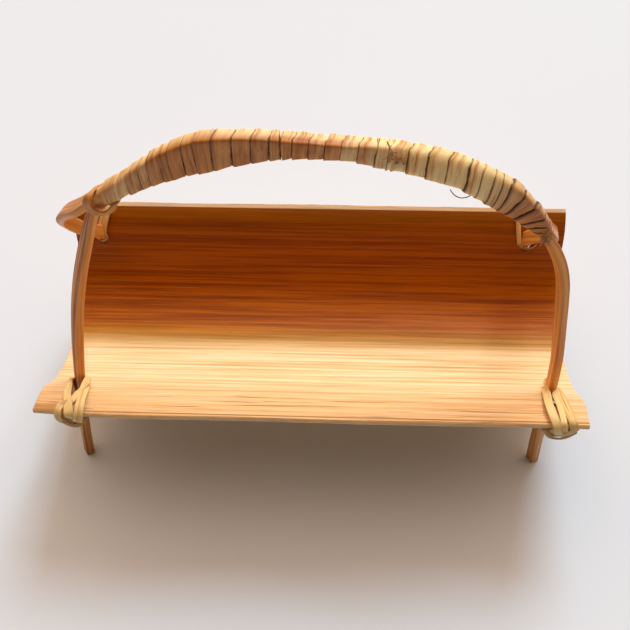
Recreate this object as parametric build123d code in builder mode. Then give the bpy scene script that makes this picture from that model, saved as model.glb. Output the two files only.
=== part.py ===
from build123d import *
import math
import os

os.makedirs("parts", exist_ok=True)

# A small serving tray of split bamboo with an arched carrying handle.
# One thin sheet makes the trough. Two bent strips stand in slots cut through it: their
# ends are the four legs, and above the trough they meet and are wound together as the grip.
# X runs along the tray, Y from the front lip to the back lip, Z up from the floor.
# The origin is on the floor, under the middle of the tray. All sizes are in millimetres.

# Tray sheet
tray_length = 300.0
tray_width = 140.0
rim_height = 91.0
trough_depth = 51.0
sheet = 2.2
trough_middle = 20.0  # the trough is deepest this far behind the middle
front_lip_run = 16.0
front_lip_drop = 8.0
back_lip_run = 8.0
back_lip_drop = 5.0
front_slot_run = 31.0
front_slot_drop = 24.5
front_wall_share = 0.86  # share of the depth reached halfway from slot to bottom
back_wall_share = 0.74  # and the same, three quarters of the way to the back slot
back_slot_run = 13.5
back_slot_drop = 15.5
front_lip_length = 23.0  # from the edge to the slot, measured along the face
back_lip_length = 12.0
back_crossing = 12.0  # the back leg is clear of the wall this far below its slot's middle

# Bent strips
hoop_width = 6.5
hoop_thickness = 4.0
grip_height = 227.5
wrapped_above = 163.0  # the two strips lie together above this height
bend_out = 0.3  # how steeply each leg leaves the grip
half_way_out = 0.46  # share of the way to its slot that a leg has gone at half height
front_foot_run = 16.0  # each foot stands this far inside its edge of the tray
back_foot_run = 4.0

# Windings and lashings
thin_wrap = 1.0
thick_wrap = 1.4
ring_slack = 0.5  # the strips start to part inside the ring
left_hump = (7.0, 1.0)  # the two long windings are wound up thicker, mostly on top
right_hump = (4.5, 1.5)
hump_lean = 1.3  # above 1 the thickest place of a hump is right of its middle
wrap_gap = 0.6
lash_width = 2.0
lash_thickness = 1.1

# Clearances
play = 0.25
slot_play = 0.3
leg_room = 1.0  # beside each leg, which leans a little in its slot

# Places worked out from the sizes above
half_length = tray_length / 2
half_width = tray_width / 2
front_slot = (-half_width + front_slot_run, rim_height - front_slot_drop)
back_slot = (half_width - back_slot_run, rim_height - back_slot_drop)
front_foot = (-half_width + front_foot_run, 0.0)
back_foot = (half_width - back_foot_run, 0.0)
half_stack = (hoop_thickness + play) / 2
slot_width = hoop_thickness + 2 * (leg_room + lash_width + slot_play)
below_floor = 12.0  # the strips are drawn this far past the floor, then cut off at it

# How many points each drawn curve is taken through
few = 9
some = 25
many = 61

# Inner face of the trough from the front edge to the back edge, as (Y, Z)
trough_face = [
    (-half_width, rim_height),
    (-half_width + front_lip_run, rim_height - front_lip_drop),
    front_slot,
    (trough_middle / 2 + front_slot[0] / 2, rim_height - front_wall_share * trough_depth),
    (trough_middle, rim_height - trough_depth),
    (trough_middle / 4 + back_slot[0] * 3 / 4, rim_height - back_wall_share * trough_depth),
    back_slot,
    (half_width - back_lip_run, rim_height - back_lip_drop),
    (half_width, rim_height),
]

# Middle line of the grip, as (X, Z), from the left end of the winding to the right end
grip_points = [
    (-110.0, grip_height - 46.0),
    (-84.0, grip_height - 25.0),
    (-50.0, grip_height - 6.5),
    (-3.0, grip_height),
    (43.0, grip_height - 6.5),
    (80.0, grip_height - 23.0),
    (107.0, grip_height - 46.0),
    (121.0, grip_height - 63.0),
]

# The legs of each strip, as (X, Z), between the floor and the winding
front_left_leg = [(-142.0, -below_floor), (-135.5, front_slot[1]), (-125.0, 125.0), (-116.5, 155.0)]
front_right_leg = [(128.5, 146.0), (135.5, 110.0), (136.0, front_slot[1]), (134.5, -below_floor)]
back_left_leg = [(-134.0, -below_floor), (-131.0, back_slot[1]), (-132.5, 132.0), (-126.5, 166.0)]
back_right_leg = [(132.5, 146.0), (132.0, 115.0), (127.0, back_slot[1]), (129.0, -below_floor)]
front_leg_places = [front_left_leg[1][0], front_right_leg[2][0]]
back_leg_places = [back_left_leg[1][0], back_right_leg[2][0]]

face_line = Spline(*trough_face)
grip_line = Spline(*grip_points)


def beside(line, shift, start=0.0, end=1.0, count=some):
    """Points along a line, each moved square to it; a positive shift is to the line's left."""
    places = []
    for step in range(count):
        along = start + (end - start) * step / (count - 1)
        amount = shift(along) if callable(shift) else shift
        moved = line @ along + (line % along).rotate(Axis.Z, 90) * amount
        places.append((moved.X, moved.Y))
    return places


def band(plane, left_side, right_side):
    """Face between two curves that run side by side."""
    with BuildSketch(plane) as face:
        with BuildLine():
            left = Spline(*left_side)
            right = Spline(*right_side)
            Line(left @ 0, right @ 0)
            Line(left @ 1, right @ 1)
        make_face()
    return face.sketch


def front_view(left_leg, shift, right_leg, thickness):
    """Outline of a strip seen from the front: up one leg, along the grip, down the other."""
    grip = Spline(*beside(grip_line, shift))
    rising = Vector(*left_leg[1]) - Vector(*left_leg[0])
    falling = Vector(*right_leg[-1]) - Vector(*right_leg[-2])
    left = Spline(*left_leg, grip @ 0, tangents=(rising, grip % 0))
    right = Spline(grip @ 1, *right_leg, tangents=(grip % 1, falling))
    path = Wire([left, grip, right])
    left_side = beside(path, thickness / 2, count=many)
    right_side = beside(path, -thickness / 2, count=many)
    return band(Plane.XZ, left_side, right_side)


def side_view(slot, foot, width):
    """Outline of a strip seen from the side: upright in the grip, then out to slot and foot."""
    lean = (foot[0] - slot[0]) / slot[1]
    below = (foot[0] + lean * below_floor, -below_floor)
    between = (slot[0] * half_way_out, (slot[1] + wrapped_above) / 2)
    top = grip_height + below_floor
    ends = ((-lean, 1), (-bend_out * slot[0] / abs(slot[0]), 1))
    with BuildSketch(Plane.YZ) as outline:
        with BuildLine():
            sides = []
            for side in (-width / 2, width / 2):
                points = [below, slot, between, (0.0, wrapped_above)]
                sides.append(Spline(*[(y + side, z) for y, z in points], tangents=ends))
            Line(sides[0] @ 0, sides[1] @ 0)
            Polyline(sides[0] @ 1, (-width / 2, top), (width / 2, top), sides[1] @ 1)
        make_face()
    return outline.sketch


# The strip whose legs stand at the front; in the grip it is the lower of the two
front_outline = front_view(front_left_leg, -half_stack, front_right_leg, hoop_thickness)
front_side = side_view(front_slot, front_foot, hoop_width)
with BuildPart() as front_hoop:
    extrude(front_outline, amount=tray_width, both=True)
    extrude(front_side, amount=tray_length, both=True, mode=Mode.INTERSECT)
    split(bisect_by=Plane.XY, keep=Keep.TOP)

# The strip whose legs stand at the back; in the grip it lies over the other
back_outline = front_view(back_left_leg, half_stack, back_right_leg, hoop_thickness)
back_side = side_view(back_slot, back_foot, hoop_width)
with BuildPart() as back_hoop:
    extrude(back_outline, amount=tray_width, both=True)
    extrude(back_side, amount=tray_length, both=True, mode=Mode.INTERSECT)
    split(bisect_by=Plane.XY, keep=Keep.TOP)

# Each slot runs from the end of the lip to just past the strip and the lashing behind it
behind_strip = hoop_width / 2 + play
past_lashing = play + lash_thickness + slot_play
front_lip_end = face_line @ (front_lip_length / face_line.length)
back_lip_end = face_line @ (1 - back_lip_length / face_line.length)
front_slot_end = front_slot[0] + behind_strip + past_lashing
back_slot_end = back_slot[1] - back_crossing - past_lashing - sheet

# Trough sheet, with a slot near each corner
sheet_section = band(Plane.YZ, beside(face_line, 0.0), beside(face_line, -sheet))
with BuildPart() as tray:
    extrude(sheet_section, amount=half_length, both=True)
    # the front wall leans back, so its slots are cut straight down
    with BuildSketch(Plane.XY.offset(front_slot[1])):
        for leg in front_leg_places:
            with Locations((leg, (front_lip_end.X + front_slot_end) / 2)):
                Rectangle(slot_width, front_slot_end - front_lip_end.X)
    extrude(amount=trough_depth / 2, both=True, mode=Mode.SUBTRACT)
    # the back wall is steep, so its slots are cut level
    with BuildSketch(Plane.XZ.offset(-back_slot[0])):
        for leg in back_leg_places:
            with Locations((leg, (back_lip_end.Y + back_slot_end) / 2)):
                Rectangle(slot_width, back_lip_end.Y - back_slot_end)
    extrude(amount=back_slot_run, both=True, mode=Mode.SUBTRACT)
tray.part.label = "tray"
export_step(tray.part, "parts/tray.step")

front_hoop.part.label = "front_hoop"
export_step(front_hoop.part, "parts/front_hoop.step")
back_hoop.part.label = "back_hoop"
export_step(back_hoop.part, "parts/back_hoop.step")

# Windings, each a close-fitting sleeve round both strips; the ends are shares of the grip's length
windings = {
    "grip_end_ring": {"ends": (0.0, 0.04), "wall": thick_wrap, "slack": ring_slack, "hump": (0.0, 0.0)},
    "grip_wrap_left": {"ends": (0.04, 0.42), "wall": thin_wrap, "slack": 0.0, "hump": left_hump},
    "grip_wrap_middle": {"ends": (0.42, 0.575), "wall": thin_wrap, "slack": 0.0, "hump": (0.0, 0.0)},
    "grip_wrap_right": {"ends": (0.575, 1.0), "wall": thick_wrap, "slack": 0.0, "hump": right_hump},
}
half_gap = wrap_gap / 2 / grip_line.length


def swelling(level, hump, start, end):
    """Distance from the grip's middle line, swelling by a hump between two ends."""

    def distance(along):
        share = (along - start) / (end - start)
        return level + hump * math.sin(math.pi * share**hump_lean) ** 2

    return distance


for name, winding in windings.items():
    start = winding["ends"][0] + half_gap
    end = winding["ends"][1] - half_gap
    room = play + winding["slack"]
    stack_room = half_stack + hoop_thickness / 2 + room

    wound = stack_room + winding["wall"]
    above, below = winding["hump"]
    upper = beside(grip_line, swelling(wound, above, start, end), start, end, few)
    lower = beside(grip_line, swelling(-wound, -below, start, end), start, end, few)
    inner_upper = beside(grip_line, stack_room)
    inner_lower = beside(grip_line, -stack_room)
    with BuildPart() as sleeve:
        extrude(band(Plane.XZ, upper, lower), amount=hoop_width / 2 + room + winding["wall"], both=True)
        extrude(
            band(Plane.XZ, inner_upper, inner_lower),
            amount=hoop_width / 2 + room,
            both=True,
            mode=Mode.SUBTRACT,
        )
    sleeve.part.label = name
    export_step(sleeve.part, f"parts/{name}.step")


# Lashings: at each corner a strip of cane goes round the lip and behind the leg
halvings = 40


def share_where(reached, low, high):
    """Share of the trough's face where a test on its point turns true, by halving."""
    for _ in range(halvings):
        middle = (low + high) / 2
        if reached(face_line @ middle):
            high = middle
        else:
            low = middle
    return low


def lip_section(plane, start, end, margin):
    """Section of the sheet between two places on its face, grown all round by a margin."""
    face = beside(face_line, 0.0, start, end, few)
    back = beside(face_line, -sheet, start, end, few)
    with BuildSketch(plane) as section:
        with BuildLine():
            Polyline(*face, *reversed(back), close=True)
        make_face()
        offset(amount=margin)
    return section.sketch


band_reach = hoop_thickness / 2 + leg_room + lash_width
front_bar = front_slot[0] + behind_strip
back_bar = back_slot[1] - back_crossing
front_lip = (0.0, share_where(lambda point: point.X > front_bar, 0.0, 0.5))
back_lip = (share_where(lambda point: point.Y > back_bar, 0.6, 1.0), 1.0)
corners = {
    "front_left_lashing": {"leg": front_leg_places[0], "lip": front_lip},
    "front_right_lashing": {"leg": front_leg_places[1], "lip": front_lip},
    "back_left_lashing": {"leg": back_leg_places[0], "lip": back_lip},
    "back_right_lashing": {"leg": back_leg_places[1], "lip": back_lip},
}

for name, corner in corners.items():
    plane = Plane.YZ.offset(corner["leg"])
    outside = lip_section(plane, *corner["lip"], play + lash_thickness)
    inside = lip_section(plane, *corner["lip"], play)
    # the leg stands between the two sides of the lashing, which join only behind it
    if corner["lip"] == front_lip:
        between = (corner["leg"], front_bar - half_width, rim_height)
    else:
        between = (corner["leg"], half_width, back_bar + half_width)
    with BuildPart() as lashing:
        extrude(outside, amount=band_reach, both=True)
        extrude(inside, amount=band_reach, both=True, mode=Mode.SUBTRACT)
        with Locations(between):
            Box(hoop_thickness + 2 * leg_room, tray_width, tray_width, mode=Mode.SUBTRACT)
    lashing.part.label = name
    export_step(lashing.part, f"parts/{name}.step")
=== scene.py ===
import bpy
import bmesh
import math
import random
import numpy as np
from mathutils import Matrix, Vector, noise


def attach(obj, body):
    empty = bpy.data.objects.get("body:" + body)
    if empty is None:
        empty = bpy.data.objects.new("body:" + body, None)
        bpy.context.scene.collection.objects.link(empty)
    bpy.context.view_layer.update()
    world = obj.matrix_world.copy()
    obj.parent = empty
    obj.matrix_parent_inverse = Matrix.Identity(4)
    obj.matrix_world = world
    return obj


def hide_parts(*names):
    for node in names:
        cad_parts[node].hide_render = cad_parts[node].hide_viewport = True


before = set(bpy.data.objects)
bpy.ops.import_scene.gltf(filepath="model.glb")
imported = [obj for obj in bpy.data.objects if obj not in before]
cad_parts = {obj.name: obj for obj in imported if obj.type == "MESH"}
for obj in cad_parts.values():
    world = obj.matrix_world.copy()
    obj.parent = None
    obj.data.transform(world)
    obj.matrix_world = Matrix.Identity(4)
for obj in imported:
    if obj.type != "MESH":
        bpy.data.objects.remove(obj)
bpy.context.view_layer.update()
scene = bpy.context.scene
mm = 0.001  # sizes below are in millimetres


def smoothLine(points, count):
    # a cubic through the points, read off at even steps along its length; extra columns follow
    points = np.array(points, float)
    step = np.linalg.norm(np.diff(points[:, :3], axis=0), axis=1)
    knots = np.concatenate([[0.0], np.cumsum(step)])
    size = len(points)
    system = np.eye(size)
    right = np.zeros_like(points)
    for i in range(1, size - 1):
        system[i, i - 1:i + 2] = step[i - 1], 2 * (step[i - 1] + step[i]), step[i]
        right[i] = 6 * ((points[i + 1] - points[i]) / step[i] - (points[i] - points[i - 1]) / step[i - 1])
    bend = np.linalg.solve(system, right)
    stepsPerPoint = 40
    places = np.linspace(0, knots[-1], stepsPerPoint * size)
    piece = np.clip(np.searchsorted(knots, places, side="right") - 1, 0, size - 2)
    after = (places - knots[piece])[:, None]
    before = (knots[piece + 1] - places)[:, None]
    span = step[piece][:, None]
    line = (bend[piece] * before ** 3 + bend[piece + 1] * after ** 3) / (6 * span)
    line += (points[piece] / span - bend[piece] * span / 6) * before
    line += (points[piece + 1] / span - bend[piece + 1] * span / 6) * after
    length = np.concatenate([[0.0], np.cumsum(np.linalg.norm(np.diff(line[:, :3], axis=0), axis=1))])
    even = np.linspace(0, length[-1], count)
    return np.array([np.interp(even, length, line[:, k]) for k in range(points.shape[1])]).T


def newObject(name, mesh):
    piece = bpy.data.objects.new(name, mesh)
    scene.collection.objects.link(piece)
    return piece


def meshObject(name, vertices, faces, materials, faceMaterials=None, sharp=40):
    mesh = bpy.data.meshes.new(name)
    mesh.from_pydata([tuple(v) for v in vertices], [], faces)
    for material in materials:
        mesh.materials.append(material)
    if faceMaterials is not None:
        mesh.polygons.foreach_set("material_index", faceMaterials)
    mesh.polygons.foreach_set("use_smooth", [True] * len(mesh.polygons))
    work = bmesh.new()
    work.from_mesh(mesh)
    bmesh.ops.recalc_face_normals(work, faces=work.faces)
    work.to_mesh(mesh)
    work.free()
    mesh.set_sharp_from_angle(angle=math.radians(sharp))
    return newObject(name, mesh)


def addAttribute(mesh, name, kind, values):
    layer = mesh.attributes.new(name, kind, "POINT")
    layer.data.foreach_set("vector" if kind == "FLOAT_VECTOR" else "value", np.array(values).ravel())


def asPlainMesh(piece, name):
    # the modifiers' result as a mesh of its own
    bpy.context.view_layer.update()
    seen = piece.evaluated_get(bpy.context.evaluated_depsgraph_get())
    mesh = bpy.data.meshes.new_from_object(seen)
    old = piece.data
    piece.modifiers.clear()
    piece.data = mesh
    bpy.data.meshes.remove(old)
    mesh.name = name
    piece.name = name
    return piece


def roundedOutline(thickness, width, power, count):
    # (out, side) pairs round a strip's section, as shares of its half sizes
    outline = []
    for i in range(count):
        turn = 2 * math.pi * i / count
        c, s = math.cos(turn), math.sin(turn)
        reach = (abs(c) ** power + abs(s) ** power) ** (-1 / power)
        outline.append((reach * c * thickness / 2, reach * s * width / 2))
    return outline


def sweep(line, outline, outward, ends=0.35):
    # carries an outline along a line; returns vertices, faces and (along, out, side) for each vertex
    vertices, faces, coords = [], [], []
    centres = [Vector(row[:3]) for row in line]
    tangents = [(centres[min(i + 1, len(centres) - 1)] - centres[max(i - 1, 0)]).normalized()
                for i in range(len(centres))]
    stations = []
    along = 0.0
    for i, centre in enumerate(centres):
        along += (centre - centres[i - 1]).length if i else 0.0
        stations.append((centre, tangents[i], line[i], 1.0, along))
    # a small round at each end
    first, last = stations[0], stations[-1]
    for shrink, reach in ((0.93, 0.4), (0.72, 0.8), (0.4, 1.0)):
        stations.insert(0, (first[0] - first[1] * ends * reach, first[1], first[2], shrink, -ends * reach))
        stations.append((last[0] + last[1] * ends * reach, last[1], last[2], shrink, last[4] + ends * reach))
    count = len(outline)
    for centre, tangent, row, shrink, along in stations:
        out = outward(centre, tangent, row)
        out = (out - tangent * out.dot(tangent)).normalized()
        side = out.cross(tangent)
        wide = row[4] if len(row) > 4 else 1.0
        for o, s in outline:
            vertices.append(centre + (out * o + side * s * wide) * shrink)
            coords.append((along, o, s))
    for i in range(len(stations) - 1):
        for k in range(count):
            a, b = i * count + k, i * count + (k + 1) % count
            faces.append((a, b, b + count, a + count))
    faces.append(tuple(range(count)))
    faces.append(tuple(range(len(vertices) - 1, len(vertices) - count - 1, -1)))
    return vertices, faces, coords


def joined(parts):
    # several swept shapes as one
    vertices, faces, coords = [], [], []
    for partVertices, partFaces, partCoords in parts:
        base = len(vertices)
        vertices += partVertices
        faces += [tuple(base + v for v in face) for face in partFaces]
        coords += partCoords
    return vertices, faces, coords


def scaled(vectors):
    return [tuple(c * mm for c in v) for v in vectors]


def caneObject(name, shape, material, browns):
    # a piece of flat strands, with what the cane materials read
    vertices, faces, coords = shape
    piece = meshObject(name, scaled(vertices), faces, [material], None, 60)
    addAttribute(piece.data, "fibre", "FLOAT_VECTOR", scaled(coords))
    addAttribute(piece.data, "brown", "FLOAT", browns)
    addAttribute(piece.data, "seam", "FLOAT", [0.0] * len(vertices))
    return piece


class NodeTree:
    # short calls that add a node and feed its inputs with values or with other nodes
    def __init__(self, tree):
        self.nodes = tree.nodes
        self.links = tree.links

    def feed(self, socket, source):
        if hasattr(source, "links"):
            self.links.new(source, socket)
        else:
            socket.default_value = source

    def node(self, kind, settings=None, **sources):
        made = self.nodes.new(kind)
        for key, value in (settings or {}).items():
            setattr(made, key, value)
        for key, source in sources.items():
            self.feed(made.inputs[key.replace("_", " ")], source)
        return made

    def calc(self, operation, *sources, kind="ShaderNodeMath"):
        made = self.node(kind, {"operation": operation})
        for socket, source in zip(made.inputs, sources):
            self.feed(socket, source)
        return made.outputs[0]

    def vectorCalc(self, operation, *sources, scale=None):
        result = self.calc(operation, *sources, kind="ShaderNodeVectorMath")
        if scale is not None:
            self.feed(result.node.inputs["Scale"], scale)
        return result


grainLayers = {  # input that sets the scale, detail, shift of the noise, part of its range that is used
    "Streaks": ("Streaks per m", 3.0, 0.0, (0.3, 0.7)),
    "Fibres": ("Fibres per m", 2.0, 3.7, (0.3, 0.7)),
    "Flecks": ("Streaks per m", 4.0, 9.1, (0.68, 0.76)),
}


def grainGroup(layers):
    # streaks and fibres of split bamboo and cane; the fibres run along X of the coordinates
    group = bpy.data.node_groups.new("splitGrain", "ShaderNodeTree")
    for name, kind in (("Coordinates", "Vector"), ("Streaks per m", "Float"), ("Fibres per m", "Float"),
                       ("Stretch", "Float"), ("Offset", "Float")):
        group.interface.new_socket(name=name, in_out="INPUT", socket_type="NodeSocket" + kind)
    for name in layers:
        group.interface.new_socket(name=name, in_out="OUTPUT", socket_type="NodeSocketFloat")
    tree = NodeTree(group)
    given = tree.node("NodeGroupInput").outputs
    result = tree.node("NodeGroupOutput")
    for output, (scale, detail, shift, (low, high)) in layers.items():
        lengthwise = tree.calc("DIVIDE", given[scale], given["Stretch"])
        size = tree.node("ShaderNodeCombineXYZ", X=lengthwise, Y=given[scale], Z=given[scale])
        place = tree.vectorCalc("MULTIPLY", given["Coordinates"], size.outputs[0])
        texture = tree.node("ShaderNodeTexNoise", {"noise_dimensions": "4D"}, Scale=1.0, Detail=detail,
                            Roughness=0.6, Vector=place, W=tree.calc("ADD", given["Offset"], shift))
        spread = tree.node("ShaderNodeMapRange", From_Min=low, From_Max=high, Value=texture.outputs["Fac"])
        tree.feed(result.inputs[output], spread.outputs["Result"])
    return group


splitGrain = grainGroup(grainLayers)


class Shade(NodeTree):
    # a material with a Principled shader, and short calls for what feeds it
    def __init__(self, name, roughness):
        self.material = bpy.data.materials.new(name)
        self.material.use_nodes = True
        super().__init__(self.material.node_tree)
        self.shader = self.nodes["Principled BSDF"].inputs
        self.shader["Roughness"].default_value = roughness

    def coordinates(self, attribute=None):
        if attribute is None:
            return self.node("ShaderNodeTexCoord").outputs["Object"]
        return self.attribute(attribute, "Vector")

    def attribute(self, name, output="Fac"):
        return self.node("ShaderNodeAttribute", {"attribute_name": name}).outputs[output]

    def axis(self, vector, name):
        return self.node("ShaderNodeSeparateXYZ", Vector=vector).outputs[name]

    def grain(self, coordinates, streaks, fibres, stretch, offset):
        return self.node("ShaderNodeGroup", {"node_tree": splitGrain}, Coordinates=coordinates,
                         Streaks_per_m=streaks, Fibres_per_m=fibres, Stretch=stretch, Offset=offset).outputs

    def ramp(self, factor, stops):
        made = self.node("ShaderNodeValToRGB", Fac=factor)
        while len(made.color_ramp.elements) < len(stops):
            made.color_ramp.elements.new(0.5)
        for element, (position, colour) in zip(made.color_ramp.elements, stops):
            element.position = position
            element.color = (*colour, 1.0)
        return made.outputs["Color"]

    def mix(self, factor, first, second, blend="MIX"):
        made = self.node("ShaderNodeMix", {"data_type": "RGBA", "blend_type": blend}, Factor=factor)
        for source, socket in ((first, made.inputs[6]), (second, made.inputs[7])):
            self.feed(socket, (*source, 1.0) if isinstance(source, tuple) else source)
        return made.outputs[2]

    def between(self, value, low, high, toLow=0.0, toHigh=1.0):
        return self.node("ShaderNodeMapRange", {"interpolation_type": "SMOOTHSTEP"}, Value=value,
                         From_Min=low, From_Max=high, To_Min=toLow, To_Max=toHigh).outputs["Result"]

    def bump(self, height, distance, strength):
        made = self.node("ShaderNodeBump", Strength=strength, Distance=distance, Height=height)
        self.feed(self.shader["Normal"], made.outputs["Normal"])

    def done(self, colour, roughness=None):
        self.feed(self.shader["Base Color"], colour)
        if roughness is not None:
            self.feed(self.shader["Roughness"], roughness)
        return self.material


sheetLook = {
    "frontColour": (0.88, 0.59, 0.30),
    "paleStreak": (0.97, 0.75, 0.46),
    "darkStreak": (0.66, 0.36, 0.13),
    # painted shade: the trough's middle, and the back wall that the lamp behind leaves in shade, in darker,
    # redder tones
    "paintedMiddleShade": (0.52, 0.28, 0.04),
    "paintedMiddleShadeStreak": (0.38, 0.18, 0.015),
    "paintedWallShade": (0.46, 0.11, 0.0003),
    "paintedWallShadeStreak": (0.26, 0.05, 0.0001),
    "paintedUpperShade": (0.22, 0.06, 0.0003),
    "rimColour": (0.86, 0.60, 0.36),
    "lipColour": (0.78, 0.43, 0.17),
    "fleckColour": (0.30, 0.13, 0.04),
    "grooveColour": (0.30, 0.12, 0.03),
    "lineColour": (0.26, 0.10, 0.02),
    "cornerColour": (0.42, 0.20, 0.05),
    "groovesPerM": 900.0,
    "streaksPerM": 420.0,
    "fibresPerM": 2600.0,
    # where the tones and the painted shade change over, as Y in metres
    "middleShadeFrom": (-0.011, 0.012),
    "wallShadeFrom": (-0.003, 0.021),
    "upperShadeFrom": (0.054, 0.066),
    "rimFrom": (0.0683, 0.0690),
    "lipFrom": (-0.044, -0.062),
    "lineEdges": ((-0.0694, -0.0698), (-0.0707, -0.0703)),
    "cornerFrom": (-0.0650, -0.0660),
    "cornerReach": (-0.126, -0.130),  # X
}


def sheetMaterial(look):
    shade = Shade("bambooInside", 0.42)
    place = shade.coordinates()
    streaks = shade.grain(place, look["streaksPerM"], look["fibresPerM"], 60.0, 1.0)
    pale = shade.ramp(streaks["Streaks"], [(0.1, look["darkStreak"]), (0.42, look["frontColour"]),
                                           (0.85, look["paleStreak"])])
    # painted shade of the back wall
    wall = shade.ramp(streaks["Streaks"], [(0.15, look["paintedWallShadeStreak"]), (0.7, look["paintedWallShade"])])
    # painted shade: from the trough's middle up the back wall, which faces away from the lamp, the sheet is
    # painted darker and redder; it is browner at its front lip
    across = shade.axis(place, "Y")
    middle = shade.mix(streaks["Streaks"], look["paintedMiddleShadeStreak"], look["paintedMiddleShade"])
    colour = shade.mix(shade.between(across, *look["middleShadeFrom"]), pale, middle)
    colour = shade.mix(shade.between(across, *look["wallShadeFrom"]), colour, wall)
    colour = shade.mix(shade.between(across, *look["upperShadeFrom"], 0.0, 0.7), colour, look["paintedUpperShade"])
    colour = shade.mix(shade.between(across, *look["rimFrom"]), colour, look["rimColour"])
    lip = shade.between(across, *look["lipFrom"])
    lipTone = shade.mix(streaks["Streaks"], look["darkStreak"], look["lipColour"])
    colour = shade.mix(shade.calc("MULTIPLY", lip, 0.6), colour, lipTone)
    grooves = shade.grain(place, look["groovesPerM"], look["fibresPerM"], 55.0, 21.0)
    # a dark line beside the front edge, and a browner left corner
    line = shade.calc("MULTIPLY", *(shade.between(across, *edge) for edge in look["lineEdges"]))
    colour = shade.mix(shade.calc("MULTIPLY", line, 0.75), colour, look["lineColour"])
    corner = shade.calc("MULTIPLY", shade.between(shade.axis(place, "X"), *look["cornerReach"]),
                         shade.between(across, *look["cornerFrom"]))
    colour = shade.mix(shade.calc("MULTIPLY", corner, 0.7), colour, look["cornerColour"])
    groove = shade.calc("MULTIPLY", shade.between(grooves["Streaks"], 0.62, 0.86), lip)
    colour = shade.mix(shade.calc("MULTIPLY", groove, 0.75), colour, look["grooveColour"])
    colour = shade.mix(shade.calc("MULTIPLY", streaks["Flecks"], 0.35), colour, look["fleckColour"])
    fine = shade.between(streaks["Fibres"], 0.0, 1.0, 0.86, 1.08)
    colour = shade.mix(1.0, colour, fine, "MULTIPLY")
    shade.bump(streaks["Fibres"], 0.0004, 0.25)
    shade.shader["Specular IOR Level"].default_value = 0.12
    return shade.done(colour, shade.between(streaks["Streaks"], 0.0, 1.0, 0.5, 0.36))


skinLook = {
    "tones": [(0.1, (0.34, 0.16, 0.05)), (0.5, (0.55, 0.31, 0.10)), (0.9, (0.66, 0.42, 0.17))],
    "fleckColour": (0.16, 0.07, 0.03),
    "streaksPerM": 260.0,
    "fibresPerM": 1800.0,
}


def skinMaterial(look):
    shade = Shade("bambooSkin", 0.36)
    place = shade.coordinates()
    streaks = shade.grain(place, look["streaksPerM"], look["fibresPerM"], 70.0, 5.0)
    colour = shade.ramp(streaks["Streaks"], look["tones"])
    colour = shade.mix(shade.calc("MULTIPLY", streaks["Flecks"], 0.5), colour, look["fleckColour"])
    shade.bump(streaks["Fibres"], 0.0004, 0.2)
    return shade.done(colour)


edgeLook = {
    "tones": [(0.15, (0.22, 0.08, 0.025)), (0.5, (0.52, 0.26, 0.09)), (0.9, (0.78, 0.50, 0.22))],
    "frontColour": (0.90, 0.60, 0.30),
    "frontFrom": (-0.066, -0.069),  # Y
    "layersPerM": 900.0,
    "fibresPerM": 3800.0,
}


def edgeMaterial(look):
    # cut edges show the layers of the sheet; the front edge is cleaner and paler
    shade = Shade("bambooCutEdge", 0.62)
    place = shade.coordinates()
    streaks = shade.grain(place, look["layersPerM"], look["fibresPerM"], 12.0, 8.0)
    colour = shade.ramp(streaks["Streaks"], look["tones"])
    front = shade.between(shade.axis(place, "Y"), *look["frontFrom"], 0.0, 0.75)
    colour = shade.mix(front, colour, look["frontColour"])
    shade.bump(streaks["Streaks"], 0.0005, 0.4)
    return shade.done(colour)


stripLook = {
    "smoothTones": [(0.1, (0.58, 0.20, 0.035)), (0.5, (0.82, 0.33, 0.06)), (0.9, (0.95, 0.47, 0.12))],
    "barkTones": [(0.15, (0.28, 0.10, 0.04)), (0.5, (0.66, 0.30, 0.11)), (0.9, (0.88, 0.50, 0.25))],
    "fleckColour": (0.15, 0.06, 0.03),
    "streaksPerM": 520.0,
    "fibresPerM": 2600.0,
}


def stripMaterial(look):
    shade = Shade("bentStrip", 0.48)
    place = shade.coordinates("fibre")
    streaks = shade.grain(place, look["streaksPerM"], look["fibresPerM"], 45.0, 2.0)
    bark = shade.attribute("bark")
    smooth = shade.ramp(streaks["Streaks"], look["smoothTones"])
    rough = shade.ramp(streaks["Streaks"], look["barkTones"])
    colour = shade.mix(bark, smooth, rough)
    colour = shade.mix(shade.calc("MULTIPLY", streaks["Flecks"], 0.5), colour, look["fleckColour"])
    shade.bump(streaks["Fibres"], 0.0005, 0.35)
    return shade.done(colour, shade.between(bark, 0.0, 1.0, 0.42, 0.7))


caneLooks = {
    "caneWinding": {"straw": (0.97, 0.72, 0.34), "shadow": (0.66, 0.26, 0.035),
                    "deep": (0.30, 0.06, 0.003), "offset": 4.0},
    "caneLashing": {"straw": (0.86, 0.64, 0.27), "shadow": (0.66, 0.38, 0.11), "deep": (0.30, 0.11, 0.03),
                    "offset": 6.0},
    "caneFray": {"straw": (0.52, 0.27, 0.10), "shadow": (0.26, 0.10, 0.035), "deep": (0.12, 0.04, 0.02),
                 "offset": 7.0},
}
caneSurface = {
    "seamShadeColour": (0.07, 0.025, 0.01),
    "fleckColour": (0.25, 0.11, 0.035),
    "streaksPerM": 480.0,
    "fibresPerM": 2400.0,
}


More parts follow.
